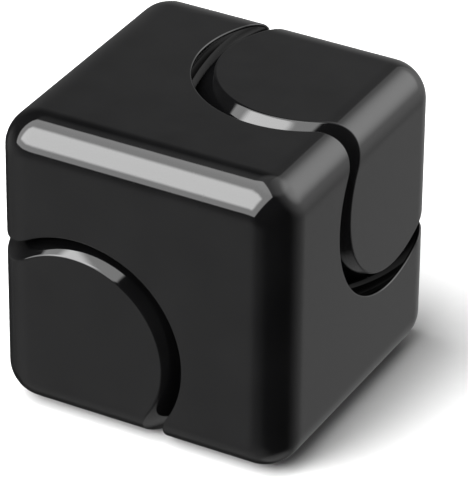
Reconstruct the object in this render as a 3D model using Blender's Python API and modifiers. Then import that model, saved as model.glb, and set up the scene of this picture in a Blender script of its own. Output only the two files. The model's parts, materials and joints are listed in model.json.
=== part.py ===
"""Cube spinner: a rounded cube parted by two spherical cuts on one body diagonal.

The two opposite corner caps are joined by a spindle and turn together about the diagonal, in a
shielded ball bearing pressed in the web of the middle body. Units are metres, +Z is up, the cube
stands on z = 0 and its faces are square to the axes. The diagonal runs from the corner at -X -Y -Z
up to the corner at +X +Y +Z. Bearing, spindle and caps hang on an empty whose local Z is that
diagonal, so turned pieces are drawn about their own Z.
"""

import math

import bmesh
import bpy
from mathutils import Matrix, Vector

MM = 0.001

# Cube
EDGE = 26.0 * MM
EDGE_ROUNDING = 3.2 * MM
ROUNDING_SEGMENTS = 6

# Spherical cuts, centred on the diagonal; an inset is from a sphere's centre to the corner's faces
POCKET_RADIUS = 11.9 * MM
POCKET_INSET = 7.8 * MM
CAP_RADIUS = 10.8 * MM
CAP_INSET = 7.35 * MM
WEB_HALF = 2.5 * MM  # the web between the pockets, measured along the diagonal
CAP_CLEARANCE = 0.5 * MM  # between the web and the flat base of a cap
CUT_STEPS = 48
CUT_ARC_DEG = 7.5
CUT_TIP_DEG = 30.0  # this far round the axis the cut is a tangent cone, clear of the cube's own corner

# Ball bearing, 1/4 x 1/2 x 3/16 inch
BEARING_BORE_RADIUS = 3.175 * MM
BEARING_OUTER_RADIUS = 6.35 * MM
BEARING_HALF = 2.381 * MM
BALL_RADIUS = 0.79375 * MM
BALL_COUNT = 10
PITCH_RADIUS = (BEARING_BORE_RADIUS + BEARING_OUTER_RADIUS) / 2
RACE_RADIUS = 0.84 * MM
RACE_PLAY = 0.04 * MM
RACE_DEPTH = 0.32 * MM
RING_CHAMFER = 0.2 * MM
RING_STEPS = 40
RACE_SEGMENTS = 6

# Shields and the split wires that hold them
SHIELD_SEAT_RADIUS = 5.95 * MM
SHIELD_SEAT_DEPTH = 0.53 * MM
SHIELD_THICKNESS = 0.18 * MM
SHIELD_GAP = 0.15 * MM
WIRE_RADIUS = 0.12 * MM
WIRE_SPLIT_DEG = 24.0
WIRE_POINTS = 25

# Cage
CAGE_HALF_WIDTH = 0.37 * MM
CAGE_BACK = 1.3 * MM
CAGE_FRONT = 0.5 * MM
CAGE_POCKET_RADIUS = 0.86 * MM

# Spindle and spacers
FIT = 0.025 * MM  # radial clearance of a piece in the bore it is fitted to
FACE_GAP = 0.05 * MM  # between faces that bear on each other
STUD_RADIUS = 2.0 * MM
STUD_REACH = 10.5 * MM
STUD_CHAMFER = 0.3 * MM
STUD_BORE_END = 11.2 * MM
SPACER_RADIUS = 4.2 * MM

CENTRE = Vector((0.0, 0.0, EDGE / 2))
DIAGONAL = Vector((1.0, 1.0, 1.0)).normalized()
OVERSHOOT = 2.0 * MM  # how far a cutter runs past what it cuts

UP = 1
DOWN = -1


def clear_scene():
    for obj in list(bpy.data.objects):
        bpy.data.objects.remove(obj, do_unlink=True)


def make_collection(name):
    collection = bpy.data.collections.new(name)
    bpy.context.scene.collection.children.link(collection)
    return collection


def make_material(name, colour, roughness, metallic):
    material = bpy.data.materials.new(name)
    material.use_nodes = True
    shader = material.node_tree.nodes["Principled BSDF"]
    shader.inputs["Base Color"].default_value = (*colour, 1.0)
    shader.inputs["Roughness"].default_value = roughness
    shader.inputs["Metallic"].default_value = metallic
    material.diffuse_color = (*colour, 1.0)
    return material


def make_spin_axis(collection):
    """The empty on the joint's axis: its local Z runs along the diagonal."""
    axis = bpy.data.objects.new("spin_axis", None)
    axis.empty_display_type = "ARROWS"
    axis.empty_display_size = EDGE / 4
    turn = Vector((0.0, 0.0, 1.0)).rotation_difference(DIAGONAL)
    axis.location = CENTRE
    axis.rotation_mode = "QUATERNION"
    axis.rotation_quaternion = turn
    collection.objects.link(axis)
    return axis


def place(obj, collection, axis, material=None):
    """Link a piece drawn about its own Z, and put it on the spin axis."""
    collection.objects.link(obj)
    obj.parent = axis
    if material is not None:
        obj.data.materials.append(material)
    return obj


def mark_cutter(obj):
    obj.hide_render = True
    obj.display_type = "WIRE"


def smooth(mesh, angle_deg=35.0):
    mesh.shade_smooth()
    mesh.set_sharp_from_angle(angle=math.radians(angle_deg))


def profile_mesh(name, profile, closed):
    """An outline of (radius, height) points in the XZ plane, ready for a Screw modifier."""
    mesh = bpy.data.meshes.new(name)
    points = [(radius, 0.0, height) for radius, height in profile]
    edges = [(i, i + 1) for i in range(len(points) - 1)]
    if closed:
        edges.append((len(points) - 1, 0))
    mesh.from_pydata(points, edges, [])
    return mesh


def add_screw(obj, steps):
    screw = obj.modifiers.new("turn", "SCREW")
    screw.steps = steps
    screw.render_steps = steps
    screw.axis = "Z"
    screw.use_merge_vertices = True
    screw.merge_threshold = 0.000001
    screw.use_smooth_shade = True


def turned(name, profile, steps, closed=True):
    """A turned piece about Z. The outline runs down its outer side and up its inner side."""
    obj = bpy.data.objects.new(name, profile_mesh(name, profile, closed))
    add_screw(obj, steps)
    return obj


def boolean(obj, cutter, operation):
    modifier = obj.modifiers.new(operation.lower() + "_" + cutter.name, "BOOLEAN")
    modifier.operation = operation
    modifier.solver = "EXACT"
    modifier.object = cutter


def arc(centre, radius, start_deg, end_deg, segments):
    """Points on an arc in the (radius, height) plane; 0 degrees points outward, 90 up."""
    points = []
    for i in range(segments + 1):
        angle = math.radians(start_deg + (end_deg - start_deg) * i / segments)
        points.append((centre[0] + radius * math.cos(angle), centre[1] + radius * math.sin(angle)))
    return points


def mirrored(profile):
    """The same outline below the cube's centre, kept in the order that a turned piece needs."""
    return [(radius, -height) for radius, height in reversed(profile)]


def sided(profile, side):
    return profile if side == UP else mirrored(profile)


def cut_ball_profile(radius, inset, floor):
    """A ball on the diagonal, pointed at the corner, and flat at a height above the cube's centre."""
    centre = (EDGE / 2 - inset) * math.sqrt(3.0)
    tip = (0.0, centre + radius / math.cos(math.radians(CUT_TIP_DEG)))
    floor_deg = math.degrees(math.asin((floor - centre) / radius))
    top_deg = 90.0 - CUT_TIP_DEG
    segments = round((top_deg - floor_deg) / CUT_ARC_DEG)
    return [tip] + arc((0.0, centre), radius, top_deg, floor_deg, segments) + [(0.0, floor)]


def make_cut_ball(name, profile, side, cutters, axis):
    profile = sided(profile, side)
    ball = turned(name, profile, CUT_STEPS, closed=False)
    mark_cutter(ball)
    return place(ball, cutters, axis)


def make_bore_cutter(name, radius, start, end, cutters, axis):
    profile = [(0.0, end), (radius, end), (radius, start), (0.0, start)]
    bore = turned(name, profile, RING_STEPS, closed=False)
    mark_cutter(bore)
    return place(bore, cutters, axis)


def make_rounded_cube(name):
    """The whole cube with every edge rounded, standing on z = 0."""
    mesh = bpy.data.meshes.new(name)
    shape = bmesh.new()
    bmesh.ops.create_cube(shape, size=EDGE)
    bmesh.ops.translate(shape, verts=shape.verts, vec=CENTRE)
    bmesh.ops.bevel(
        shape,
        geom=shape.edges[:],
        offset=EDGE_ROUNDING,
        segments=ROUNDING_SEGMENTS,
        profile=0.5,
        affect="EDGES",
    )
    shape.to_mesh(mesh)
    shape.free()
    smooth(mesh)
    return bpy.data.objects.new(name, mesh)


def hang_on_axis(obj, axis):
    """Give a piece drawn in world coordinates its origin on the joint's axis."""
    obj.parent = axis
    obj.matrix_parent_inverse = Matrix.Identity(4)
    to_axis = (Matrix.Translation(CENTRE) @ axis.rotation_quaternion.to_matrix().to_4x4()).inverted()
    obj.data.transform(to_axis)


def make_middle_body(parts, cutters, axis, material):
    body = make_rounded_cube("middle_body")
    parts.objects.link(body)
    body.data.materials.append(material)
    profile = cut_ball_profile(POCKET_RADIUS, POCKET_INSET, WEB_HALF)
    for side, label in ((UP, "upper"), (DOWN, "lower")):
        pocket = make_cut_ball(label + "_pocket_cutter", profile, side, cutters, axis)
        boolean(body, pocket, "DIFFERENCE")
    reach = WEB_HALF + OVERSHOOT
    seat = make_bore_cutter("bearing_seat_cutter", BEARING_OUTER_RADIUS + FIT, -reach, reach, cutters, axis)
    boolean(body, seat, "DIFFERENCE")
    return body


def make_corner_cap(side, label, parts, cutters, axis, material):
    cap = make_rounded_cube(label + "_corner_cap")
    parts.objects.link(cap)
    cap.data.materials.append(material)
    hang_on_axis(cap, axis)
    base = WEB_HALF + CAP_CLEARANCE
    profile = cut_ball_profile(CAP_RADIUS, CAP_INSET, base)
    keep = make_cut_ball(label + "_cap_cutter", profile, side, cutters, axis)
    boolean(cap, keep, "INTERSECT")
    ends = sorted((side * (base - OVERSHOOT), side * STUD_BORE_END))
    hole = make_bore_cutter(label + "_stud_hole_cutter", STUD_RADIUS + FIT, *ends, cutters, axis)
    boolean(cap, hole, "DIFFERENCE")
    return cap


def make_spindle(parts, axis, material):
    shoulder = WEB_HALF + CAP_CLEARANCE - FACE_GAP
    seat = BEARING_BORE_RADIUS - FIT
    upper = [
        (0.0, STUD_REACH),
        (STUD_RADIUS - STUD_CHAMFER, STUD_REACH),
        (STUD_RADIUS, STUD_REACH - STUD_CHAMFER),
        (STUD_RADIUS, shoulder),
        (seat, shoulder),
    ]
    spindle = turned("spindle", upper + mirrored(upper), RING_STEPS, closed=False)
    return place(spindle, parts, axis, material)


def make_outer_ring(parts, axis, material):
    bottom = PITCH_RADIUS + BALL_RADIUS + RACE_PLAY
    land = bottom - RACE_DEPTH
    half_race_deg = math.degrees(math.acos((land - bottom + RACE_RADIUS) / RACE_RADIUS))
    race = arc((bottom - RACE_RADIUS, 0.0), RACE_RADIUS, -half_race_deg, half_race_deg, RACE_SEGMENTS)
    outer_side = [
        (BEARING_OUTER_RADIUS - RING_CHAMFER, BEARING_HALF),
        (BEARING_OUTER_RADIUS, BEARING_HALF - RING_CHAMFER),
    ]
    seat = [
        (land, BEARING_HALF - SHIELD_SEAT_DEPTH),
        (SHIELD_SEAT_RADIUS, BEARING_HALF - SHIELD_SEAT_DEPTH),
        (SHIELD_SEAT_RADIUS, BEARING_HALF),
    ]
    profile = outer_side + mirrored(outer_side) + mirrored(seat) + race + seat
    return place(turned("bearing_outer_ring", profile, RING_STEPS), parts, axis, material)


def make_inner_ring(parts, axis, material):
    bottom = PITCH_RADIUS - BALL_RADIUS - RACE_PLAY
    land = bottom + RACE_DEPTH
    half_race_deg = math.degrees(math.acos((bottom + RACE_RADIUS - land) / RACE_RADIUS))
    start = 180.0 - half_race_deg
    end = 180.0 + half_race_deg
    race = arc((bottom + RACE_RADIUS, 0.0), RACE_RADIUS, start, end, RACE_SEGMENTS)
    outer_corner = [(land, BEARING_HALF)]
    bore_corner = [
        (BEARING_BORE_RADIUS, BEARING_HALF - RING_CHAMFER),
        (BEARING_BORE_RADIUS + RING_CHAMFER, BEARING_HALF),
    ]
    profile = outer_corner + race + mirrored(outer_corner) + mirrored(bore_corner) + bore_corner
    return place(turned("bearing_inner_ring", profile, RING_STEPS), parts, axis, material)


def tube_profile(inner, outer, low, high):
    return [(outer, high), (outer, low), (inner, low), (inner, high)]


def make_spacer(side, label, parts, axis, material):
    low = BEARING_HALF + FACE_GAP
    high = WEB_HALF + CAP_CLEARANCE - FACE_GAP
    profile = tube_profile(BEARING_BORE_RADIUS, SPACER_RADIUS, low, high)
    return place(turned(label + "_spacer", sided(profile, side), RING_STEPS), parts, axis, material)


def make_shield(side, label, parts, axis, material):
    low = BEARING_HALF - SHIELD_SEAT_DEPTH + FACE_GAP
    inner = PITCH_RADIUS - BALL_RADIUS - RACE_PLAY + RACE_DEPTH + SHIELD_GAP
    profile = tube_profile(inner, SHIELD_SEAT_RADIUS - FIT, low, low + SHIELD_THICKNESS)
    return place(turned(label + "_shield", sided(profile, side), RING_STEPS), parts, axis, material)


def make_snap_wire(side, label, parts, axis, material):
    """A split ring of round wire, drawn as a curve."""
    height = BEARING_HALF - SHIELD_SEAT_DEPTH + 2 * FACE_GAP + SHIELD_THICKNESS + WIRE_RADIUS
    ring_radius = SHIELD_SEAT_RADIUS - FIT - WIRE_RADIUS
    curve = bpy.data.curves.new(label + "_snap_wire", "CURVE")
    curve.dimensions = "3D"
    curve.bevel_depth = WIRE_RADIUS
    curve.bevel_resolution = 1
    curve.use_fill_caps = True
    spline = curve.splines.new("POLY")
    spline.points.add(WIRE_POINTS - 1)
    for i, point in enumerate(spline.points):
        share = i / (WIRE_POINTS - 1)
        angle = math.radians(WIRE_SPLIT_DEG / 2 + (360.0 - WIRE_SPLIT_DEG) * share)
        position = (ring_radius * math.cos(angle), ring_radius * math.sin(angle), side * height, 1.0)
        point.co = position
    obj = bpy.data.objects.new(label + "_snap_wire", curve)
    return place(obj, parts, axis, material)


def ball_position(index):
    angle = 2 * math.pi * index / BALL_COUNT
    return Vector((PITCH_RADIUS * math.cos(angle), PITCH_RADIUS * math.sin(angle), 0.0))


def ball_mesh(name, radius, segments, rings):
    mesh = bpy.data.meshes.new(name)
    shape = bmesh.new()
    bmesh.ops.create_uvsphere(shape, u_segments=segments, v_segments=rings, radius=radius)
    shape.to_mesh(mesh)
    shape.free()
    mesh.shade_smooth()
    return mesh


def make_balls(parts, axis, material):
    mesh = ball_mesh("bearing_ball", BALL_RADIUS, 12, 8)
    mesh.materials.append(material)
    for i in range(BALL_COUNT):
        ball = bpy.data.objects.new(f"bearing_ball_{i + 1:02d}", mesh)
        place(ball, parts, axis)
        ball.location = ball_position(i)


def make_cage(parts, cutters, axis, material):
    """Crown cage: a ring with ball pockets that open on one side, so it snaps over the balls."""
    inner = PITCH_RADIUS - CAGE_HALF_WIDTH
    outer = PITCH_RADIUS + CAGE_HALF_WIDTH
    profile = tube_profile(inner, outer, -CAGE_BACK, CAGE_FRONT)
    cage = turned("bearing_cage", profile, RING_STEPS)
    place(cage, parts, axis, material)
    mesh = ball_mesh("ball_pocket_cutter", CAGE_POCKET_RADIUS, 14, 9)
    for i in range(BALL_COUNT):
        pocket = bpy.data.objects.new(f"ball_pocket_cutter_{i + 1:02d}", mesh)
        mark_cutter(pocket)
        place(pocket, cutters, axis)
        pocket.location = ball_position(i)
        boolean(cage, pocket, "DIFFERENCE")
    return cage


def main():
    clear_scene()
    parts = make_collection("cube_spinner")
    cutters = make_collection("cutters")
    axis = make_spin_axis(parts)
    shell = make_material("black_gloss", (0.02, 0.02, 0.021), 0.12, 0.0)
    steel = make_material("bearing_steel", (0.62, 0.62, 0.64), 0.25, 1.0)
    polished = make_material("ball_steel", (0.78, 0.78, 0.8), 0.08, 1.0)
    nylon = make_material("cage_nylon", (0.75, 0.72, 0.62), 0.45, 0.0)
    brass = make_material("spacer_brass", (0.78, 0.6, 0.28), 0.3, 1.0)
    make_middle_body(parts, cutters, axis, shell)
    make_spindle(parts, axis, steel)
    make_outer_ring(parts, axis, steel)
    make_inner_ring(parts, axis, steel)
    make_cage(parts, cutters, axis, nylon)
    make_balls(parts, axis, polished)
    for side, label in ((UP, "upper"), (DOWN, "lower")):
        make_corner_cap(side, label, parts, cutters, axis, shell)
        make_spacer(side, label, parts, axis, brass)
        make_shield(side, label, parts, axis, steel)
        make_snap_wire(side, label, parts, axis, steel)


main()
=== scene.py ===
"""Looks of the cube spinner: fine meshes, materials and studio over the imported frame.

The cube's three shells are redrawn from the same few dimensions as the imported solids: a rounded
cube, two spheres on its diagonal, and a flat web between them. Every shell is woven from rings of
points about the diagonal, with fillets where the surfaces meet and exact normals. The bearing and
the spindle are turned finely about the same axis. Lengths are metres, +Z is up.
"""

import json
import math

import bmesh
import bpy
import numpy as np
from mathutils import Matrix, Vector


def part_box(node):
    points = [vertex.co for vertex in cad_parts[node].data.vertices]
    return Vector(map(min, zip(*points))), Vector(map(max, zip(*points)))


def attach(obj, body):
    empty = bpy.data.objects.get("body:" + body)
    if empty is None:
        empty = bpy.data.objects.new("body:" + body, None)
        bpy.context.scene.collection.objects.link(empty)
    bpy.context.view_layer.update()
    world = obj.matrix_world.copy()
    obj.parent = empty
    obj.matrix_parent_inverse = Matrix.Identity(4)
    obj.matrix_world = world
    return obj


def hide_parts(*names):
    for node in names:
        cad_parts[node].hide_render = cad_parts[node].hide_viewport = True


MM = 0.001

# Cube and spherical cuts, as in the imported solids; an inset is from a sphere's centre to the faces
EDGE_ROUNDING = 3.2 * MM
POCKET_RADIUS = 11.9 * MM
POCKET_INSET = 7.8 * MM
CAP_RADIUS = 10.8 * MM
CAP_INSET = 7.35 * MM
WEB_HALF = 2.5 * MM
CAP_BASE = 3.0 * MM
BORE_RADIUS = 6.375 * MM
STUD_HOLE_RADIUS = 2.025 * MM
STUD_HOLE_END = 11.2 * MM
DRILL_POINT_DEG = 31.0

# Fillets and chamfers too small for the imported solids
BODY_RIM_FILLET = 0.15 * MM
CAP_RIM_FILLET = 0.3 * MM
POCKET_FLOOR_FILLET = 0.4 * MM
CAP_BASE_FILLET = 0.3 * MM
BORE_CHAMFER = 0.2 * MM

# Ball bearing, 1/4 x 1/2 x 3/16 inch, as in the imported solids
BEARING_BORE_RADIUS = 3.175 * MM
BEARING_OUTER_RADIUS = 6.35 * MM
BEARING_HALF = 2.381 * MM
BALL_RADIUS = 0.79375 * MM
BALL_COUNT = 10
PITCH_RADIUS = (BEARING_BORE_RADIUS + BEARING_OUTER_RADIUS) / 2
RACE_RADIUS = 0.84 * MM
RACE_PLAY = 0.04 * MM
RACE_DEPTH = 0.32 * MM
RACE_STEPS = 18
RING_CHAMFER = 0.2 * MM
SHIELD_SEAT_RADIUS = 5.95 * MM
SHIELD_SEAT_DEPTH = 0.53 * MM
SHIELD_THICKNESS = 0.18 * MM
SHIELD_GAP = 0.15 * MM
SHIELD_DISH = 0.05 * MM
WIRE_RADIUS = 0.12 * MM
WIRE_SPLIT_DEG = 24.0
WIRE_SECTIONS = 120
WIRE_SIDES = 16
CAGE_HALF_WIDTH = 0.37 * MM
CAGE_BACK = 1.3 * MM
CAGE_FRONT = 0.5 * MM
CAGE_POCKET_RADIUS = 0.86 * MM

# Spindle and spacers
FIT = 0.025 * MM
FACE_GAP = 0.05 * MM
STUD_RADIUS = 2.0 * MM
STUD_REACH = 10.5 * MM
STUD_CHAMFER = 0.3 * MM
SPACER_RADIUS = 4.2 * MM
THREAD_PITCH = 0.7 * MM
THREAD_DEPTH = 0.24 * MM
THREAD_ROWS_A_TURN = 12

# Edges of turned and stamped pieces
EDGE_FILLET = 0.05 * MM
EDGE_FILLET_ROWS = 4
FILLET_SHARE = 0.45  # the most of a side that one corner's fillet may take
SMOOTH_CORNER_DEG = 25.0

# Mesh density
COLUMNS = 240
BODY_ROWS = 80
CAP_ROWS = 60
RIM_ROWS = 8
FLANK_ROWS = 24
FILLET_ROWS = 5
BALL_DETAIL = 5
CUTTER_DETAIL = 4
POINT_SIZE = 0.0001 * MM  # a ring smaller than this is one point

# A rim lies between these angles from the axis, about its cut's centre
NARROWEST_RIM_DEG = 50.0
WIDEST_RIM_DEG = 125.0

# Camera
CAMERA_AZ_DEG = 28.43
CAMERA_EL_DEG = 31.14
CAMERA_ROLL_DEG = 0.56
CAMERA_DISTANCE = 324.2 * MM
CAMERA_SLIDE_RIGHT = 1.35 * MM
CAMERA_SLIDE_UP = -0.84 * MM
CAMERA_SENSOR_MM = 36.0
CAMERA_LENS_MM = 307.0
CAMERA_CLIP_START = 0.01
CAMERA_CLIP_END = 20.0

# Lamps, by where each stands as seen from the cube: azimuth 0 is +Y and 90 is +X
ROOM_RADIANCE = 0.05
BACKDROP_RADIANCE = 1.0

# Softboxes, with sizes and softness as tangents of half angles
KEY_SOFTBOX = dict(
    az_deg=-148.0, el_deg=43.5, half_width=0.68, half_height=0.92, softness=0.05, strength=5.4
)
KEY_CORE = dict(
    az_deg=-146.0, el_deg=37.0, half_width=0.34, half_height=0.38, softness=0.08, strength=9.8
)
LOW_FILL = dict(
    az_deg=-120.0, el_deg=-19.0, half_width=1.00, half_height=0.33, softness=0.42, strength=0.36
)
SOFTBOX_ROLL_DEG = -6.0
BARELY_AHEAD = 0.001  # keeps the tangents finite beside and behind a softbox

# The window at the right, and the nearly upright card that cuts off its rear side
WINDOW_HALO = dict(az_deg=43.0, el_deg=33.0, inner_deg=0.0, outer_deg=59.0, strength=1.05)
WINDOW_CORE = dict(az_deg=43.0, el_deg=33.0, inner_deg=0.0, outer_deg=34.5, strength=2.60)
WINDOW_CARD = dict(az_deg=91.0, el_deg=6.5, softness=0.025)

# Soft patches of the room: at the right rear, overhead, behind, under the front left and under the cube
ROOM_GLOWS = (
    dict(az_deg=24.0, el_deg=2.0, inner_deg=0.0, outer_deg=75.0, strength=0.54),
    dict(az_deg=28.0, el_deg=77.0, inner_deg=25.0, outer_deg=38.0, strength=0.75),
    dict(az_deg=-34.0, el_deg=12.0, inner_deg=0.0, outer_deg=32.0, strength=0.09),
    dict(az_deg=-152.0, el_deg=-56.0, inner_deg=0.0, outer_deg=47.0, strength=0.36),
    dict(az_deg=60.0, el_deg=-75.0, inner_deg=0.0, outer_deg=25.0, strength=0.50),
)

# The overhead lamp, for the floor
OVERHEAD_AZ_DEG = -125.0
OVERHEAD_EL_DEG = 75.0
OVERHEAD_DISTANCE = 0.5
OVERHEAD_WIDTH = 0.27
OVERHEAD_WATTS = 3.4

FLOOR_REACH = 3.0
FLOOR_TONES = (0.56, 0.58)
FLOOR_GRAIN_SCALE = 900.0
FLOOR_ROUGHNESS = 0.9

# Looks: a pair is what a noise's low and high become, and a scale is in noise cells a metre
NOISE_LOW = 0.3
NOISE_HIGH = 0.7
LACQUER_COLOURS = ((0.0012, 0.0012, 0.0013), (0.0022, 0.0022, 0.0023))
LACQUER_ROUGHNESS = (0.03, 0.07)
LACQUER_CLOUD_SCALE = 230.0
LACQUER_POLISH_SCALE = 900.0
ORANGE_PEEL_SCALE = 620.0
ORANGE_PEEL_RELIEF = 0.004 * MM
SCRATCH_SCALES = (9000.0, 420.0, 420.0)
SCRATCH_TURNS_DEG = ((20.0, 35.0, 0.0), (75.0, 10.0, 50.0))
SCRATCH_FAINT = 0.66
SCRATCH_FULL = 0.74
SCRATCH_ROUGHNESS = 0.10
SCRATCH_DEPTH = 0.04
STEEL_COLOURS = ((0.56, 0.56, 0.58), (0.68, 0.68, 0.70))
STEEL_ROUGHNESS = (0.16, 0.32)
BRASS_COLOURS = ((0.70, 0.52, 0.22), (0.82, 0.65, 0.33))
BRASS_ROUGHNESS = (0.20, 0.36)
TURNING_MARK_SCALE = 26000.0
TURNING_MARK_RELIEF = 0.002 * MM
METAL_CLOUD_SCALE = 700.0
CHROME_COLOURS = ((0.74, 0.74, 0.77), (0.81, 0.81, 0.83))
CHROME_ROUGHNESS = (0.03, 0.09)
CHROME_HAZE_SCALE = 1500.0
CHROME_HAZE_RELIEF = 0.0005 * MM
NYLON_COLOURS = ((0.66, 0.63, 0.53), (0.78, 0.75, 0.66))
NYLON_ROUGHNESS = (0.38, 0.55)
NYLON_FLOW_SCALE = 500.0
NYLON_GRAIN_SCALE = 9000.0
NYLON_GRAIN_RELIEF = 0.004 * MM
NYLON_SUBSURFACE = 0.15
NYLON_SUBSURFACE_DEPTH = 0.5 * MM

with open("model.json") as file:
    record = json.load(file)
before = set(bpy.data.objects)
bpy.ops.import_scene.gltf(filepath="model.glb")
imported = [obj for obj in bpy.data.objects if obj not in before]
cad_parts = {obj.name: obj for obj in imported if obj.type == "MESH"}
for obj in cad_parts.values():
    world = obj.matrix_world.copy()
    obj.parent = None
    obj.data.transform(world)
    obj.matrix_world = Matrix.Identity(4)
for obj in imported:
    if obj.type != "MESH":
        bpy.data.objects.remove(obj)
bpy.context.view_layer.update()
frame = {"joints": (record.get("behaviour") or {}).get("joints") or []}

CUBE_LOW, CUBE_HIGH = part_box("middle_body")
HALF = (CUBE_HIGH.x - CUBE_LOW.x) / 2
CENTRE = np.array((CUBE_LOW + CUBE_HIGH) / 2)
AXIS = np.array(Vector(frame["joints"][0]["axis"]).normalized())
SIDE_U = np.array(Vector((1.0, -1.0, 0.0)).normalized())
SIDE_V = np.cross(AXIS, SIDE_U)
POCKET_OFFSET = (HALF - POCKET_INSET) * math.sqrt(3.0)
CAP_OFFSET = (HALF - CAP_INSET) * math.sqrt(3.0)

# A cut's sphere: its radius, how far its centre lies from the cube's, and whether it hollows the piece
POCKET = (POCKET_RADIUS, POCKET_OFFSET, True)
CAP = (CAP_RADIUS, CAP_OFFSET, False)

UP = 1
DOWN = -1


# Shapes of the shells ---------------------------------------------------------------------------


def unit(vectors):
    return vectors / np.linalg.norm(vectors, axis=-1, keepdims=True)


def cube_distance(points):
    """Signed distance from the rounded cube's surface, negative inside."""
    beyond = np.abs(points - CENTRE) - (HALF - EDGE_ROUNDING)
    outside = np.linalg.norm(np.maximum(beyond, 0.0), axis=-1)
    inside = np.minimum(beyond.max(axis=-1), 0.0)
    return outside + inside - EDGE_ROUNDING


def cube_normal(points):
    """Unit normal of the rounded cube at points on or just under its surface."""
    local = points - CENTRE
    beyond = np.maximum(np.abs(local) - (HALF - EDGE_ROUNDING), 0.0)
    return unit(beyond * np.sign(local))


def bisect(func, low, high, steps=48):
    """Where func falls through zero between low and high, entry by entry."""
    for _ in range(steps):
        middle = (low + high) / 2
        above = func(middle) > 0
        low = np.where(above, middle, low)
        high = np.where(above, high, middle)
    return (low + high) / 2


def slerp(start, end, rows):
    """Rows of unit vectors turned evenly from start to end, which are one vector a column."""
    cosine = np.clip((start * end).sum(axis=-1, keepdims=True), -1.0, 1.0)
    angle = np.arccos(cosine)
    share = np.linspace(0.0, 1.0, rows + 1)[:, None, None]
    return (np.sin((1 - share) * angle) * start + np.sin(share * angle) * end) / np.sin(angle)


def spokes():
    """Unit vectors square to the axis, one a column."""
    turn = np.linspace(0.0, 2 * math.pi, COLUMNS, endpoint=False)[:, None]
    return np.cos(turn) * SIDE_U + np.sin(turn) * SIDE_V


def cut_centre(side, cut):
    return CENTRE + side * cut[1] * AXIS


def from_cut(side, angle):
    """Unit vectors at an angle, or one for each column, from the axis's end on this side."""
    return np.cos(angle) * side * AXIS + np.sin(angle) * spokes()


def onto_cube(origin, directions):
    """Points where rays from inside meet the rounded cube."""
    far = np.full(directions.shape[:-1] + (1,), 4 * HALF)

    def inside(reach):
        return -cube_distance(origin + reach * directions)[..., None]

    return origin + bisect(inside, np.zeros_like(far), far) * directions


def rim(side, cut, fillet):
    """Where a fillet ball rolls along a cut's rim: its centres, and its normals on cube and cut."""
    radius, _, hollow = cut
    reach = radius + fillet if hollow else radius - fillet
    centre = cut_centre(side, cut)

    def outside(angle):
        return (cube_distance(centre + reach * from_cut(side, angle)) + fillet)[:, None]

    narrow = np.full((COLUMNS, 1), math.radians(NARROWEST_RIM_DEG))
    wide = np.full((COLUMNS, 1), math.radians(WIDEST_RIM_DEG))
    angle = bisect(outside, narrow, wide)
    out = from_cut(side, angle)
    balls = centre + reach * out
    on_cut = -out if hollow else out
    return balls, cube_normal(balls), on_cut, angle


def fillet_strip(balls, start, end, radius, rows):
    normals = slerp(start, end, rows)
    return balls + radius * normals, normals


def flank_strip(side, cut, start, end):
    """The cut's sphere from the rim down to the web or base."""
    radius, _, hollow = cut
    share = np.linspace(0.0, 1.0, FLANK_ROWS + 1)[:, None, None]
    angle = start + (end - start) * share
    out = from_cut(side, angle)
    return cut_centre(side, cut) + radius * out, -out if hollow else out


def ring(radius, height):
    return CENTRE + height * AXIS + radius * spokes()


def cone_strip(start, end, side, flip=1):
    """One band of a turned surface between two (radius, height) points on a side of the centre."""
    radial = (start[1] - end[1]) * side
    along = end[0] - start[0]
    size = math.hypot(radial, along)
    normal = flip * (radial / size * spokes() + along / size * side * AXIS)
    points = np.stack((ring(start[0], side * start[1]), ring(end[0], side * end[1])))
    return points, np.stack((normal, normal))


def reversed_strips(strips):
    return [(points[::-1], normals[::-1]) for points, normals in reversed(strips)]


def foot_fillet(side, cut, floor, fillet):
    """The small fillet between a cut's sphere and its flat floor, and where it starts and ends."""
    cut_radius, offset, hollow = cut
    height = floor + fillet
    reach = cut_radius - fillet
    angle = math.acos((height - offset) / reach)
    radius = reach * math.sin(angle)
    balls = ring(radius, side * height)
    out = from_cut(side, angle)
    down = np.broadcast_to(-side * AXIS, out.shape)
    outward = slerp(out, down, FILLET_ROWS)
    return (balls + fillet * outward, -outward if hollow else outward), angle, radius


def pocket_strips(side, balls_rim):
    """The middle body's surface from a rim down its pocket to the middle of the bore."""
    balls, on_cube, on_cut, angle = balls_rim
    lip = fillet_strip(balls, on_cube, on_cut, BODY_RIM_FILLET, RIM_ROWS)
    foot, foot_angle, foot_radius = foot_fillet(side, POCKET, WEB_HALF, POCKET_FLOOR_FILLET)
    flank = flank_strip(side, POCKET, angle, foot_angle)
    chamfer_top = (BORE_RADIUS + BORE_CHAMFER, WEB_HALF)
    chamfer_end = (BORE_RADIUS, WEB_HALF - BORE_CHAMFER)
    web = cone_strip((foot_radius, WEB_HALF), chamfer_top, side, -1)
    chamfer = cone_strip(chamfer_top, chamfer_end, side, -1)
    return [lip, flank, foot, web, chamfer]


def body_strips():
    """The whole middle body, as one closed loop of strips."""
    upper = rim(UP, POCKET, BODY_RIM_FILLET)
    lower = rim(DOWN, POCKET, BODY_RIM_FILLET)
    upper_edge = upper[0] + BODY_RIM_FILLET * upper[1]
    lower_edge = lower[0] + BODY_RIM_FILLET * lower[1]
    directions = slerp(unit(upper_edge - CENTRE), unit(lower_edge - CENTRE), BODY_ROWS)
    outside = onto_cube(CENTRE, directions)
    bore_end = WEB_HALF - BORE_CHAMFER
    bore = cone_strip((BORE_RADIUS, -bore_end), (BORE_RADIUS, bore_end), UP, 1)
    skin = [(outside, cube_normal(outside))]
    return skin + pocket_strips(DOWN, lower) + [bore] + reversed_strips(pocket_strips(UP, upper))


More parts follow.
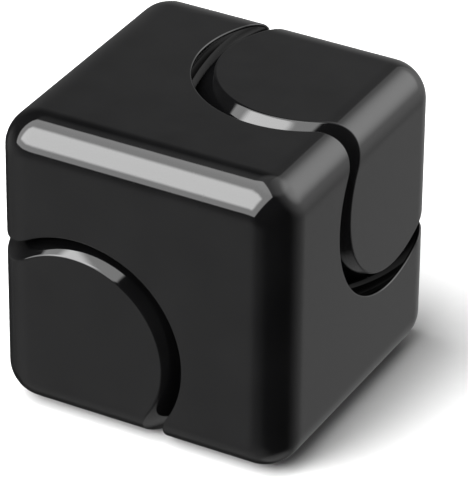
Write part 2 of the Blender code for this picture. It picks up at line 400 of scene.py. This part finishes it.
def cap_strips(side):
    """A corner cap, from its corner over the rim to the bottom of the stud's hole."""
    balls, on_cube, on_cut, angle = rim(side, CAP, CAP_RIM_FILLET)
    edge = balls + CAP_RIM_FILLET * on_cube
    centre = cut_centre(side, CAP)
    pole = np.broadcast_to(side * AXIS, edge.shape)
    outside = onto_cube(centre, slerp(pole, unit(edge - centre), CAP_ROWS))
    lip = fillet_strip(balls, on_cube, on_cut, CAP_RIM_FILLET, RIM_ROWS)
    foot, foot_angle, foot_radius = foot_fillet(side, CAP, CAP_BASE, CAP_BASE_FILLET)
    flank = flank_strip(side, CAP, angle, foot_angle)
    mouth = (STUD_HOLE_RADIUS + BORE_CHAMFER, CAP_BASE)
    throat = (STUD_HOLE_RADIUS, CAP_BASE + BORE_CHAMFER)
    end = (STUD_HOLE_RADIUS, STUD_HOLE_END)
    point = (0.0, STUD_HOLE_END + STUD_HOLE_RADIUS * math.tan(math.radians(DRILL_POINT_DEG)))
    base = cone_strip((foot_radius, CAP_BASE), mouth, side, 1)
    chamfer = cone_strip(mouth, throat, side, 1)
    wall = cone_strip(throat, end, side, 1)
    drill = cone_strip(end, point, side, 1)
    return [(outside, cube_normal(outside)), lip, flank, foot, base, chamfer, wall, drill]


def weave(name, strips, closed):
    """One closed mesh from strips of rings of points, each (points, normals): rows x columns x 3.

    A strip starts on the ring where the one before ended. Its own normals keep the two apart.
    """
    points = []
    faces = []
    normals = []

    def add_ring(row):
        if np.ptp(row, axis=0).max() < POINT_SIZE:
            points.append(row[0])
            return np.full(len(row), len(points) - 1)
        points.extend(row)
        return np.arange(len(points) - len(row), len(points))

    first = add_ring(strips[0][0][0])
    low = first
    for number, (grid, grid_normals) in enumerate(strips):
        for row in range(1, len(grid)):
            last = closed and number == len(strips) - 1 and row == len(grid) - 1
            high = first if last else add_ring(grid[row])
            for c in range(len(low)):
                d = (c + 1) % len(low)
                corners = (
                    (low[c], grid_normals[row - 1][c]),
                    (low[d], grid_normals[row - 1][d]),
                    (high[d], grid_normals[row][d]),
                    (high[c], grid_normals[row][c]),
                )
                kept = [corner for i, corner in enumerate(corners) if corner[0] != corners[i - 1][0]]
                faces.append([int(index) for index, _ in kept])
                normals.append([normal for _, normal in kept])
            low = high
    turn_outward(points, faces, normals)
    mesh = bpy.data.meshes.new(name)
    mesh.from_pydata([tuple(point) for point in points], [], faces)
    mesh.shade_smooth()
    mesh.normals_split_custom_set([tuple(normal) for face in normals for normal in face])
    obj = bpy.data.objects.new(name, mesh)
    bpy.context.scene.collection.objects.link(obj)
    return obj


def turn_outward(points, faces, normals):
    """Reverse every face if they wind against their normals."""
    agree = 0.0
    for face, face_normals in zip(faces, normals):
        a, b, c = (points[index] for index in face[:3])
        agree += float(np.dot(np.cross(b - a, c - b), face_normals[0]))
    if agree < 0:
        for face, face_normals in zip(faces, normals):
            face.reverse()
            face_normals.reverse()


# Shapes of the turned pieces ----------------------------------------------------------------------


def arc(centre, radius, start_deg, end_deg, segments):
    """Points on an arc in the (radius, height) plane; 0 degrees points outward, 90 up."""
    points = []
    for i in range(segments + 1):
        angle = math.radians(start_deg + (end_deg - start_deg) * i / segments)
        points.append((centre[0] + radius * math.cos(angle), centre[1] + radius * math.sin(angle)))
    return points


def mirrored(profile):
    """The same outline below the cube's centre, in the order that a turned piece needs."""
    return [(radius, -height) for radius, height in reversed(profile)]


def sided(profile, side):
    return profile if side == UP else mirrored(profile)


def round_corner(corner, before, after):
    """Points and normals that take an outline round one corner, as an arc where it is sharp."""
    lead, trail = corner - before, after - corner
    ahead, onward = unit(lead), unit(trail)
    start = np.array((-ahead[1], ahead[0]))
    end = np.array((-onward[1], onward[0]))
    turn = math.acos(max(-1.0, min(1.0, float(ahead @ onward))))
    if turn < math.radians(SMOOTH_CORNER_DEG):
        return [(corner, unit(start + end))]
    room = FILLET_SHARE * min(np.linalg.norm(lead), np.linalg.norm(trail))
    setback = min(EDGE_FILLET * math.tan(turn / 2), room)
    convex = ahead[0] * onward[1] - ahead[1] * onward[0] < 0
    radius = setback / math.tan(turn / 2) * (1 if convex else -1)
    ball = corner - setback * ahead - radius * start
    rows = []
    for i in range(EDGE_FILLET_ROWS + 1):
        normal = unit(start + (end - start) * i / EDGE_FILLET_ROWS)
        rows.append((ball + radius * normal, normal))
    return rows


def turned_strip(profile, closed):
    """The surface turned from an outline that runs down its outer side and up its inner side."""
    corners = [np.array(point) for point in profile]
    rows = []
    for i, corner in enumerate(corners):
        if not closed and i in (0, len(corners) - 1):
            away = corners[1] - corners[0] if i == 0 else corners[-1] - corners[-2]
            rows.append((corner, unit(np.array((-away[1], away[0])))))
        else:
            rows += round_corner(corner, corners[i - 1], corners[(i + 1) % len(corners)])
    if closed:
        rows.append(rows[0])
    points = np.stack([ring(point[0], point[1]) for point, _ in rows])
    normals = np.stack([normal[0] * spokes() + normal[1] * AXIS for _, normal in rows])
    return points, normals


def turned(name, profile, closed=True):
    return weave(name, [turned_strip(profile, closed)], closed)


def tube_profile(inner, outer, low, high):
    return [(outer, high), (outer, low), (inner, low), (inner, high)]


def race_arc(centre_radius, start_deg, end_deg):
    return arc((centre_radius, 0.0), RACE_RADIUS, start_deg, end_deg, RACE_STEPS)


def outer_ring_profile():
    bottom = PITCH_RADIUS + BALL_RADIUS + RACE_PLAY
    land = bottom - RACE_DEPTH
    half_deg = math.degrees(math.acos((land - bottom + RACE_RADIUS) / RACE_RADIUS))
    outer_side = [
        (BEARING_OUTER_RADIUS - RING_CHAMFER, BEARING_HALF),
        (BEARING_OUTER_RADIUS, BEARING_HALF - RING_CHAMFER),
    ]
    seat = [
        (land, BEARING_HALF - SHIELD_SEAT_DEPTH),
        (SHIELD_SEAT_RADIUS, BEARING_HALF - SHIELD_SEAT_DEPTH),
        (SHIELD_SEAT_RADIUS, BEARING_HALF),
    ]
    race = race_arc(bottom - RACE_RADIUS, -half_deg, half_deg)
    return outer_side + mirrored(outer_side) + mirrored(seat) + race + seat


def inner_ring_profile():
    bottom = PITCH_RADIUS - BALL_RADIUS - RACE_PLAY
    land = bottom + RACE_DEPTH
    half_deg = math.degrees(math.acos((bottom + RACE_RADIUS - land) / RACE_RADIUS))
    outer_corner = [(land, BEARING_HALF)]
    bore_corner = [
        (BEARING_BORE_RADIUS, BEARING_HALF - RING_CHAMFER),
        (BEARING_BORE_RADIUS + RING_CHAMFER, BEARING_HALF),
    ]
    race = race_arc(bottom + RACE_RADIUS, 180.0 - half_deg, 180.0 + half_deg)
    return outer_corner + race + mirrored(outer_corner) + mirrored(bore_corner) + bore_corner


def spacer_profile():
    return tube_profile(BEARING_BORE_RADIUS, SPACER_RADIUS, BEARING_HALF + FACE_GAP, CAP_BASE - FACE_GAP)


def shield_profile():
    """A stamped washer, dished a little inward between its two rims."""
    low = BEARING_HALF - SHIELD_SEAT_DEPTH + FACE_GAP
    high = low + SHIELD_THICKNESS
    inner = PITCH_RADIUS - BALL_RADIUS - RACE_PLAY + RACE_DEPTH + SHIELD_GAP
    outer = SHIELD_SEAT_RADIUS - FIT
    fifth = (outer - inner) / 5
    top = [(inner, high), (inner + fifth, high), (inner + 2 * fifth, high - SHIELD_DISH)]
    top += [(outer - 2 * fifth, high - SHIELD_DISH), (outer - fifth, high), (outer, high)]
    return top + [(outer, low), (inner, low)]


def thread_strip(start, end):
    """A screw thread along the axis, from one height down to another, as one helical ridge."""
    rows = round(abs(end - start) / THREAD_PITCH * THREAD_ROWS_A_TURN)
    height = np.linspace(start, end, rows + 1)[:, None, None]
    turn = np.linspace(0.0, 2 * math.pi, COLUMNS, endpoint=False)[:, None]
    phase = 2 * math.pi * height / THREAD_PITCH - turn
    fade = np.clip(np.minimum(height - min(start, end), max(start, end) - height) / THREAD_PITCH, 0.0, 1.0)
    depth = THREAD_DEPTH / 2 * fade
    radius = STUD_RADIUS - depth * (1 - np.cos(phase))
    slope = -depth * np.sin(phase)
    around = np.roll(spokes(), -COLUMNS // 4, axis=0)
    normal = spokes() - slope * 2 * math.pi / THREAD_PITCH * AXIS + slope / radius * around
    return CENTRE + height * AXIS + radius * spokes(), unit(normal)


def spindle_strips():
    """The shouldered stud: plain seat in the bearing, threads on both ends."""
    shoulder = CAP_BASE - FACE_GAP
    seat = BEARING_BORE_RADIUS - FIT
    top = [(0.0, STUD_REACH), (STUD_RADIUS - STUD_CHAMFER, STUD_REACH)]
    chamfer = cone_strip(top[1], (STUD_RADIUS, STUD_REACH - STUD_CHAMFER), UP)
    thread_top = STUD_REACH - STUD_CHAMFER
    step = cone_strip((STUD_RADIUS, shoulder), (seat, shoulder), UP)
    body = cone_strip((seat, shoulder), (seat, -shoulder), UP)
    step_below = cone_strip((seat, shoulder), (STUD_RADIUS, shoulder), DOWN)
    chamfer_below = cone_strip((STUD_RADIUS, thread_top), top[1], DOWN)
    strips = [cone_strip(top[0], top[1], UP), chamfer, thread_strip(thread_top, shoulder), step, body]
    thread_below = thread_strip(-shoulder, -thread_top)
    end_below = cone_strip(top[1], top[0], DOWN)
    return strips + [step_below, thread_below, chamfer_below, end_below]


def wire_strips(side):
    """A split ring of round wire with flat ends."""
    height = BEARING_HALF - SHIELD_SEAT_DEPTH + 2 * FACE_GAP + SHIELD_THICKNESS + WIRE_RADIUS
    reach = SHIELD_SEAT_RADIUS - FIT - WIRE_RADIUS
    gap = math.radians(WIRE_SPLIT_DEG / 2)
    turn = np.linspace(gap, 2 * math.pi - gap, WIRE_SECTIONS + 1)[:, None, None]
    out = np.cos(turn) * SIDE_U + np.sin(turn) * SIDE_V
    along = -np.sin(turn) * SIDE_U + np.cos(turn) * SIDE_V
    middle = CENTRE + side * height * AXIS + reach * out
    around = np.linspace(0.0, 2 * math.pi, WIRE_SIDES, endpoint=False)[:, None]
    normal = np.cos(around) * out + np.sin(around) * AXIS
    surface = middle + WIRE_RADIUS * normal
    first = np.stack((np.broadcast_to(middle[0], surface[0].shape), surface[0]))
    last = np.stack((surface[-1], np.broadcast_to(middle[-1], surface[-1].shape)))
    start_normal = np.broadcast_to(-along[0], first.shape)
    end_normal = np.broadcast_to(along[-1], last.shape)
    return [(first, start_normal), (surface, normal), (last, end_normal)]


def ball(name, centre, radius, detail=BALL_DETAIL):
    shape = bmesh.new()
    bmesh.ops.create_icosphere(shape, subdivisions=detail, radius=radius)
    bmesh.ops.translate(shape, verts=shape.verts, vec=Vector(centre))
    mesh = bpy.data.meshes.new(name)
    shape.to_mesh(mesh)
    shape.free()
    mesh.shade_smooth()
    obj = bpy.data.objects.new(name, mesh)
    bpy.context.scene.collection.objects.link(obj)
    return obj


def cage_with_pockets(name, centres):
    """The crown cage: a turned ring with a ball's room cut at each ball."""
    inner = PITCH_RADIUS - CAGE_HALF_WIDTH
    outer = PITCH_RADIUS + CAGE_HALF_WIDTH
    cage = turned(name, tube_profile(inner, outer, -CAGE_BACK, CAGE_FRONT))
    cutters = [ball("cage_pocket", centre, CAGE_POCKET_RADIUS, CUTTER_DETAIL) for centre in centres]
    for cutter in cutters:
        cut = cage.modifiers.new("pocket", "BOOLEAN")
        cut.operation = "DIFFERENCE"
        cut.solver = "EXACT"
        cut.object = cutter
    evaluated = cage.evaluated_get(bpy.context.evaluated_depsgraph_get())
    mesh = bpy.data.meshes.new_from_object(evaluated)
    cage.modifiers.clear()
    cage.data = mesh
    mesh.shade_smooth()
    mesh.set_sharp_from_angle(angle=math.radians(SMOOTH_CORNER_DEG))
    for cutter in cutters:
        bpy.data.objects.remove(cutter, do_unlink=True)
    return cage


# Node helpers -----------------------------------------------------------------------------------


def add_node(tree, kind, inputs=None, **settings):
    """A node with its settings, and each named input set or linked."""
    node = tree.nodes.new(kind)
    for name, value in settings.items():
        setattr(node, name, value)
    for name, value in (inputs or {}).items():
        if isinstance(value, bpy.types.NodeSocket):
            tree.links.new(value, node.inputs[name])
        else:
            node.inputs[name].default_value = value
    return node


def calc(tree, operation, *values):
    node = add_node(tree, "ShaderNodeMath", dict(enumerate(values)), operation=operation)
    return node.outputs[0]


def vector_calc(tree, operation, *vectors):
    inputs = dict(enumerate(vectors))
    return add_node(tree, "ShaderNodeVectorMath", inputs, operation=operation).outputs


def noise(tree, place, scale, detail):
    inputs = {"Vector": place, "Scale": scale, "Detail": detail}
    return add_node(tree, "ShaderNodeTexNoise", inputs).outputs[0]


def dot(tree, vector, direction):
    return vector_calc(tree, "DOT_PRODUCT", vector, tuple(direction))["Value"]


def smooth_step(tree, value, start, end):
    """0 before start, 1 after end; start may be the larger."""
    low, high = min(start, end), max(start, end)
    inputs = {"Value": value, "From Min": low, "From Max": high}
    if start > end:
        inputs.update({"To Min": 1.0, "To Max": 0.0})
    node = add_node(tree, "ShaderNodeMapRange", inputs, interpolation_type="SMOOTHSTEP")
    return node.outputs["Result"]


# Studio -----------------------------------------------------------------------------------------


def sky_vector(az_deg, el_deg):
    """Unit vector: azimuth 0 is +Y, 90 is +X."""
    az = math.radians(az_deg)
    el = math.radians(el_deg)
    return Vector((math.sin(az) * math.cos(el), math.cos(az) * math.cos(el), math.sin(el)))


def softbox(tree, heading, az_deg, el_deg, half_width, half_height, softness, strength):
    """Radiance of a flat rectangular lamp far away: sizes are tangents of its half angles."""
    out = sky_vector(az_deg, el_deg)
    right = out.cross(Vector((0.0, 0.0, 1.0))).normalized()
    up = right.cross(out)
    turn = Matrix.Rotation(math.radians(SOFTBOX_ROLL_DEG), 3, out)
    ahead = calc(tree, "MAXIMUM", dot(tree, heading, out), BARELY_AHEAD)
    across = calc(tree, "DIVIDE", dot(tree, heading, turn @ right), ahead)
    along = calc(tree, "DIVIDE", dot(tree, heading, turn @ up), ahead)
    across = calc(tree, "ABSOLUTE", across)
    along = calc(tree, "ABSOLUTE", along)
    side = smooth_step(tree, across, half_width + softness, half_width - softness)
    top = smooth_step(tree, along, half_height + softness, half_height - softness)
    return calc(tree, "MULTIPLY", calc(tree, "MULTIPLY", side, top), strength)


def total(tree, values):
    value = values[0]
    for other in values[1:]:
        value = calc(tree, "ADD", value, other)
    return value


def glow(tree, heading, az_deg, el_deg, inner_deg, outer_deg, strength):
    """Radiance of a round soft patch of the room: full within inner, none beyond outer."""
    near = dot(tree, heading, sky_vector(az_deg, el_deg))
    inner = math.cos(math.radians(inner_deg))
    outer = math.cos(math.radians(outer_deg))
    return calc(tree, "MULTIPLY", smooth_step(tree, near, outer, inner), strength)


def flagged(tree, heading, light, az_deg, el_deg, softness):
    """A light cut off by a straight card: what is left lies towards the given angles."""
    across = dot(tree, heading, sky_vector(az_deg, el_deg))
    return calc(tree, "MULTIPLY", smooth_step(tree, across, -softness, softness), light)


def make_window(tree, heading, ray):
    """A flagged window that shows in the polish and lights nothing else."""
    panes = [glow(tree, heading, **WINDOW_HALO), glow(tree, heading, **WINDOW_CORE)]
    cut_off = flagged(tree, heading, total(tree, panes), **WINDOW_CARD)
    return calc(tree, "MULTIPLY", cut_off, ray["Is Glossy Ray"])


def make_world():
    """A key softbox at the front left with a brighter middle, a window at the right, a dim room.

    The camera itself sees a plain white backdrop.
    """
    world = bpy.data.worlds.new("studio")
    world.use_nodes = True
    tree = world.node_tree
    tree.nodes.clear()
    heading = add_node(tree, "ShaderNodeTexCoord").outputs["Generated"]
    ray = add_node(tree, "ShaderNodeLightPath").outputs
    lights = [
        softbox(tree, heading, **KEY_SOFTBOX),
        softbox(tree, heading, **KEY_CORE),
        make_window(tree, heading, ray),
        softbox(tree, heading, **LOW_FILL),
    ]
    lights += [glow(tree, heading, **patch) for patch in ROOM_GLOWS]
    light = calc(tree, "ADD", total(tree, lights), ROOM_RADIANCE)
    choice = {0: ray["Is Camera Ray"], 2: light, 3: BACKDROP_RADIANCE}
    seen = add_node(tree, "ShaderNodeMix", choice, data_type="FLOAT")
    background = add_node(tree, "ShaderNodeBackground", {"Strength": seen.outputs[0]})
    output = add_node(tree, "ShaderNodeOutputWorld")
    tree.links.new(background.outputs[0], output.inputs["Surface"])
    bpy.context.scene.world = world


def make_overhead():
    """A soft lamp high on the left: it whitens the floor and is kept out of the polish."""
    data = bpy.data.lights.new("overhead", "AREA")
    data.shape = "DISK"
    data.size = OVERHEAD_WIDTH
    data.energy = OVERHEAD_WATTS
    lamp = bpy.data.objects.new("overhead", data)
    heading = sky_vector(OVERHEAD_AZ_DEG, OVERHEAD_EL_DEG)
    turn = heading.to_track_quat("Z", "Y").to_matrix().to_4x4()
    lamp.matrix_world = Matrix.Translation(OVERHEAD_DISTANCE * heading) @ turn
    lamp.visible_glossy = False
    bpy.context.scene.collection.objects.link(lamp)


def make_floor():
    """A pale floor that takes the shadow and is kept out of the polish."""
    mesh = bpy.data.meshes.new("floor")
    reach = FLOOR_REACH
    corners = [(-reach, -reach, 0.0), (reach, -reach, 0.0), (reach, reach, 0.0), (-reach, reach, 0.0)]
    mesh.from_pydata(corners, [], [(0, 1, 2, 3)])
    floor = bpy.data.objects.new("floor", mesh)
    bpy.context.scene.collection.objects.link(floor)
    material = bpy.data.materials.new("pale_floor")
    material.use_nodes = True
    tree = material.node_tree
    shader = tree.nodes["Principled BSDF"]
    place = add_node(tree, "ShaderNodeTexCoord").outputs["Object"]
    grain = noise(tree, place, FLOOR_GRAIN_SCALE, 4.0)
    tones = {"Value": grain, "To Min": FLOOR_TONES[0], "To Max": FLOOR_TONES[1]}
    tone = add_node(tree, "ShaderNodeMapRange", tones)
    tree.links.new(tone.outputs[0], shader.inputs["Base Color"])
    shader.inputs["Roughness"].default_value = FLOOR_ROUGHNESS
    shader.inputs["Specular IOR Level"].default_value = 0.0
    mesh.materials.append(material)
    floor.visible_glossy = False


def make_camera():
    """The photograph's view, aimed past the cube's centre by two small slides."""
    az = math.radians(CAMERA_AZ_DEG)
    el = math.radians(CAMERA_EL_DEG)
    roll = math.radians(CAMERA_ROLL_DEG)
    back = Vector((math.sin(az) * math.cos(el), -math.cos(az) * math.cos(el), math.sin(el)))
    level = (-back).cross(Vector((0.0, 0.0, 1.0))).normalized()
    upright = level.cross(-back)
    right = math.cos(roll) * level + math.sin(roll) * upright
    up = -math.sin(roll) * level + math.cos(roll) * upright
    slide = CAMERA_SLIDE_RIGHT * right + CAMERA_SLIDE_UP * up
    place = Vector(CENTRE) + CAMERA_DISTANCE * back + slide
    data = bpy.data.cameras.new("camera")
    data.sensor_width = CAMERA_SENSOR_MM
    data.lens = CAMERA_LENS_MM
    data.clip_start = CAMERA_CLIP_START
    data.clip_end = CAMERA_CLIP_END
    camera = bpy.data.objects.new("camera", data)
    turn = Matrix((right, up, back)).transposed().to_4x4()
    camera.matrix_world = Matrix.Translation(place) @ turn
    bpy.context.scene.collection.objects.link(camera)
    bpy.context.scene.camera = camera
    bpy.context.scene.view_settings.view_transform = "Standard"


# Materials --------------------------------------------------------------------------------------


def new_material(name):
    material = bpy.data.materials.new(name)
    material.use_nodes = True
    tree = material.node_tree
    place = add_node(tree, "ShaderNodeTexCoord").outputs["Object"]
    return material, tree, tree.nodes["Principled BSDF"], place


def spread(tree, value, low, high):
    """A noise value stretched from its usual middle range to low..high."""
    inputs = {"Value": value, "From Min": NOISE_LOW, "From Max": NOISE_HIGH, "To Min": low, "To Max": high}
    return add_node(tree, "ShaderNodeMapRange", inputs).outputs[0]


def blend_colour(tree, value, low, high):
    """A noise value turned into a colour between two."""
    inputs = {"Factor": spread(tree, value, 0.0, 1.0), 6: (*low, 1.0), 7: (*high, 1.0)}
    return add_node(tree, "ShaderNodeMix", inputs, data_type="RGBA").outputs[2]


def bump(tree, shader, value, relief):
    inputs = {"Height": value, "Distance": relief, "Strength": 1.0}
    node = add_node(tree, "ShaderNodeBump", inputs)
    tree.links.new(node.outputs[0], shader.inputs["Normal"])


def hairlines(tree, place, turn_deg):
    """Sparse fine scratches: the thin crests of a noise drawn out along one direction."""
    inputs = {
        "Vector": place,
        "Rotation": tuple(math.radians(turn) for turn in turn_deg),
        "Scale": SCRATCH_SCALES,
    }
    drawn = add_node(tree, "ShaderNodeMapping", inputs).outputs[0]
    lines = noise(tree, drawn, 1.0, 2.0)
    return smooth_step(tree, lines, SCRATCH_FAINT, SCRATCH_FULL)


def black_gloss():
    """Black lacquer: slight cloudiness in its polish, orange peel, and hairline scratches."""
    material, tree, shader, place = new_material("black_gloss")
    cloud = noise(tree, place, LACQUER_CLOUD_SCALE, 3.0)
    tree.links.new(blend_colour(tree, cloud, *LACQUER_COLOURS), shader.inputs["Base Color"])
    scratches = total(tree, [hairlines(tree, place, turn) for turn in SCRATCH_TURNS_DEG])
    polish = spread(tree, noise(tree, place, LACQUER_POLISH_SCALE, 4.0), *LACQUER_ROUGHNESS)
    rough = calc(tree, "ADD", polish, calc(tree, "MULTIPLY", scratches, SCRATCH_ROUGHNESS))
    tree.links.new(rough, shader.inputs["Roughness"])
    peel = noise(tree, place, ORANGE_PEEL_SCALE, 1.0)
    relief = calc(tree, "SUBTRACT", peel, calc(tree, "MULTIPLY", scratches, SCRATCH_DEPTH))
    bump(tree, shader, relief, ORANGE_PEEL_RELIEF)
    return material


def turning_marks(tree, place):
    """Fine rings about the spin axis, as a lathe or grinder leaves them."""
    centred = vector_calc(tree, "SUBTRACT", place, tuple(CENTRE))[0]
    height = dot(tree, centred, AXIS)
    square = vector_calc(tree, "CROSS_PRODUCT", centred, tuple(AXIS))[0]
    radius = vector_calc(tree, "LENGTH", square)["Value"]
    rings = add_node(tree, "ShaderNodeCombineXYZ", {"X": radius, "Y": height}).outputs[0]
    return noise(tree, rings, TURNING_MARK_SCALE, 3.0)


def turned_metal(name, colours, roughness):
    """Machined metal: turning marks in tone, polish and relief, with a soft cloudiness."""
    material, tree, shader, place = new_material(name)
    marks = turning_marks(tree, place)
    cloud = noise(tree, place, METAL_CLOUD_SCALE, 3.0)
    blend = calc(tree, "MULTIPLY", calc(tree, "ADD", marks, cloud), 0.5)
    tree.links.new(blend_colour(tree, blend, *colours), shader.inputs["Base Color"])
    tree.links.new(spread(tree, blend, *roughness), shader.inputs["Roughness"])
    shader.inputs["Metallic"].default_value = 1.0
    bump(tree, shader, marks, TURNING_MARK_RELIEF)
    return material


def polished_chrome():
    """Lapped ball steel: near mirror, with faint tumbling haze."""
    material, tree, shader, place = new_material("ball_steel")
    haze = noise(tree, place, CHROME_HAZE_SCALE, 4.0)
    tree.links.new(blend_colour(tree, haze, *CHROME_COLOURS), shader.inputs["Base Color"])
    tree.links.new(spread(tree, haze, *CHROME_ROUGHNESS), shader.inputs["Roughness"])
    shader.inputs["Metallic"].default_value = 1.0
    bump(tree, shader, haze, CHROME_HAZE_RELIEF)
    return material


def moulded_nylon():
    """Natural nylon: a milky body with flow marks and a fine moulded grain."""
    material, tree, shader, place = new_material("cage_nylon")
    flow = noise(tree, place, NYLON_FLOW_SCALE, 2.0)
    grain = noise(tree, place, NYLON_GRAIN_SCALE, 3.0)
    tree.links.new(blend_colour(tree, flow, *NYLON_COLOURS), shader.inputs["Base Color"])
    tree.links.new(spread(tree, grain, *NYLON_ROUGHNESS), shader.inputs["Roughness"])
    shader.inputs["Subsurface Weight"].default_value = NYLON_SUBSURFACE
    shader.inputs["Subsurface Scale"].default_value = NYLON_SUBSURFACE_DEPTH
    bump(tree, shader, grain, NYLON_GRAIN_RELIEF)
    return material


# The pieces -------------------------------------------------------------------------------------


def finish_piece(obj, node, body, material):
    """Give a piece its material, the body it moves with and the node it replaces."""
    obj.data.materials.clear()
    obj.data.materials.append(material)
    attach(obj, body)
    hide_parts(node)


def make_shells():
    gloss = black_gloss()
    body = weave("middle_body_shell", body_strips(), closed=True)
    finish_piece(body, "middle_body", "spinner_body", gloss)
    for side, label in ((UP, "upper"), (DOWN, "lower")):
        cap = weave(label + "_cap_shell", cap_strips(side), closed=False)
        finish_piece(cap, label + "_corner_cap", "caps", gloss)


def make_bearing():
    steel = turned_metal("bearing_steel", STEEL_COLOURS, STEEL_ROUGHNESS)
    outer = turned("ground_outer_ring", outer_ring_profile())
    finish_piece(outer, "bearing_outer_ring", "spinner_body", steel)
    inner = turned("ground_inner_ring", inner_ring_profile())
    finish_piece(inner, "bearing_inner_ring", "caps", steel)
    spindle = weave("threaded_spindle", spindle_strips(), closed=False)
    finish_piece(spindle, "spindle", "caps", steel)
    for side, label in ((UP, "upper"), (DOWN, "lower")):
        shield = turned(f"stamped_{label}_shield", sided(shield_profile(), side))
        finish_piece(shield, label + "_shield", "spinner_body", steel)
        wire = weave(f"sprung_{label}_wire", wire_strips(side), closed=False)
        finish_piece(wire, label + "_snap_wire", "spinner_body", steel)


def make_spacers():
    brass = turned_metal("spacer_brass", BRASS_COLOURS, BRASS_ROUGHNESS)
    for side, label in ((UP, "upper"), (DOWN, "lower")):
        spacer = turned(f"turned_{label}_spacer", sided(spacer_profile(), side))
        finish_piece(spacer, label + "_spacer", "caps", brass)


def make_balls_and_cage():
    chrome = polished_chrome()
    centres = []
    for number in range(1, BALL_COUNT + 1):
        node = f"bearing_ball_{number:02d}"
        low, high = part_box(node)
        centres.append((low + high) / 2)
        piece = ball(f"polished_ball_{number:02d}", centres[-1], BALL_RADIUS)
        finish_piece(piece, node, "ball_cage", chrome)
    cage = cage_with_pockets("moulded_cage", centres)
    finish_piece(cage, "bearing_cage", "ball_cage", moulded_nylon())


make_camera()
make_world()
make_overhead()
make_floor()
make_shells()
make_bearing()
make_spacers()
make_balls_and_cage()
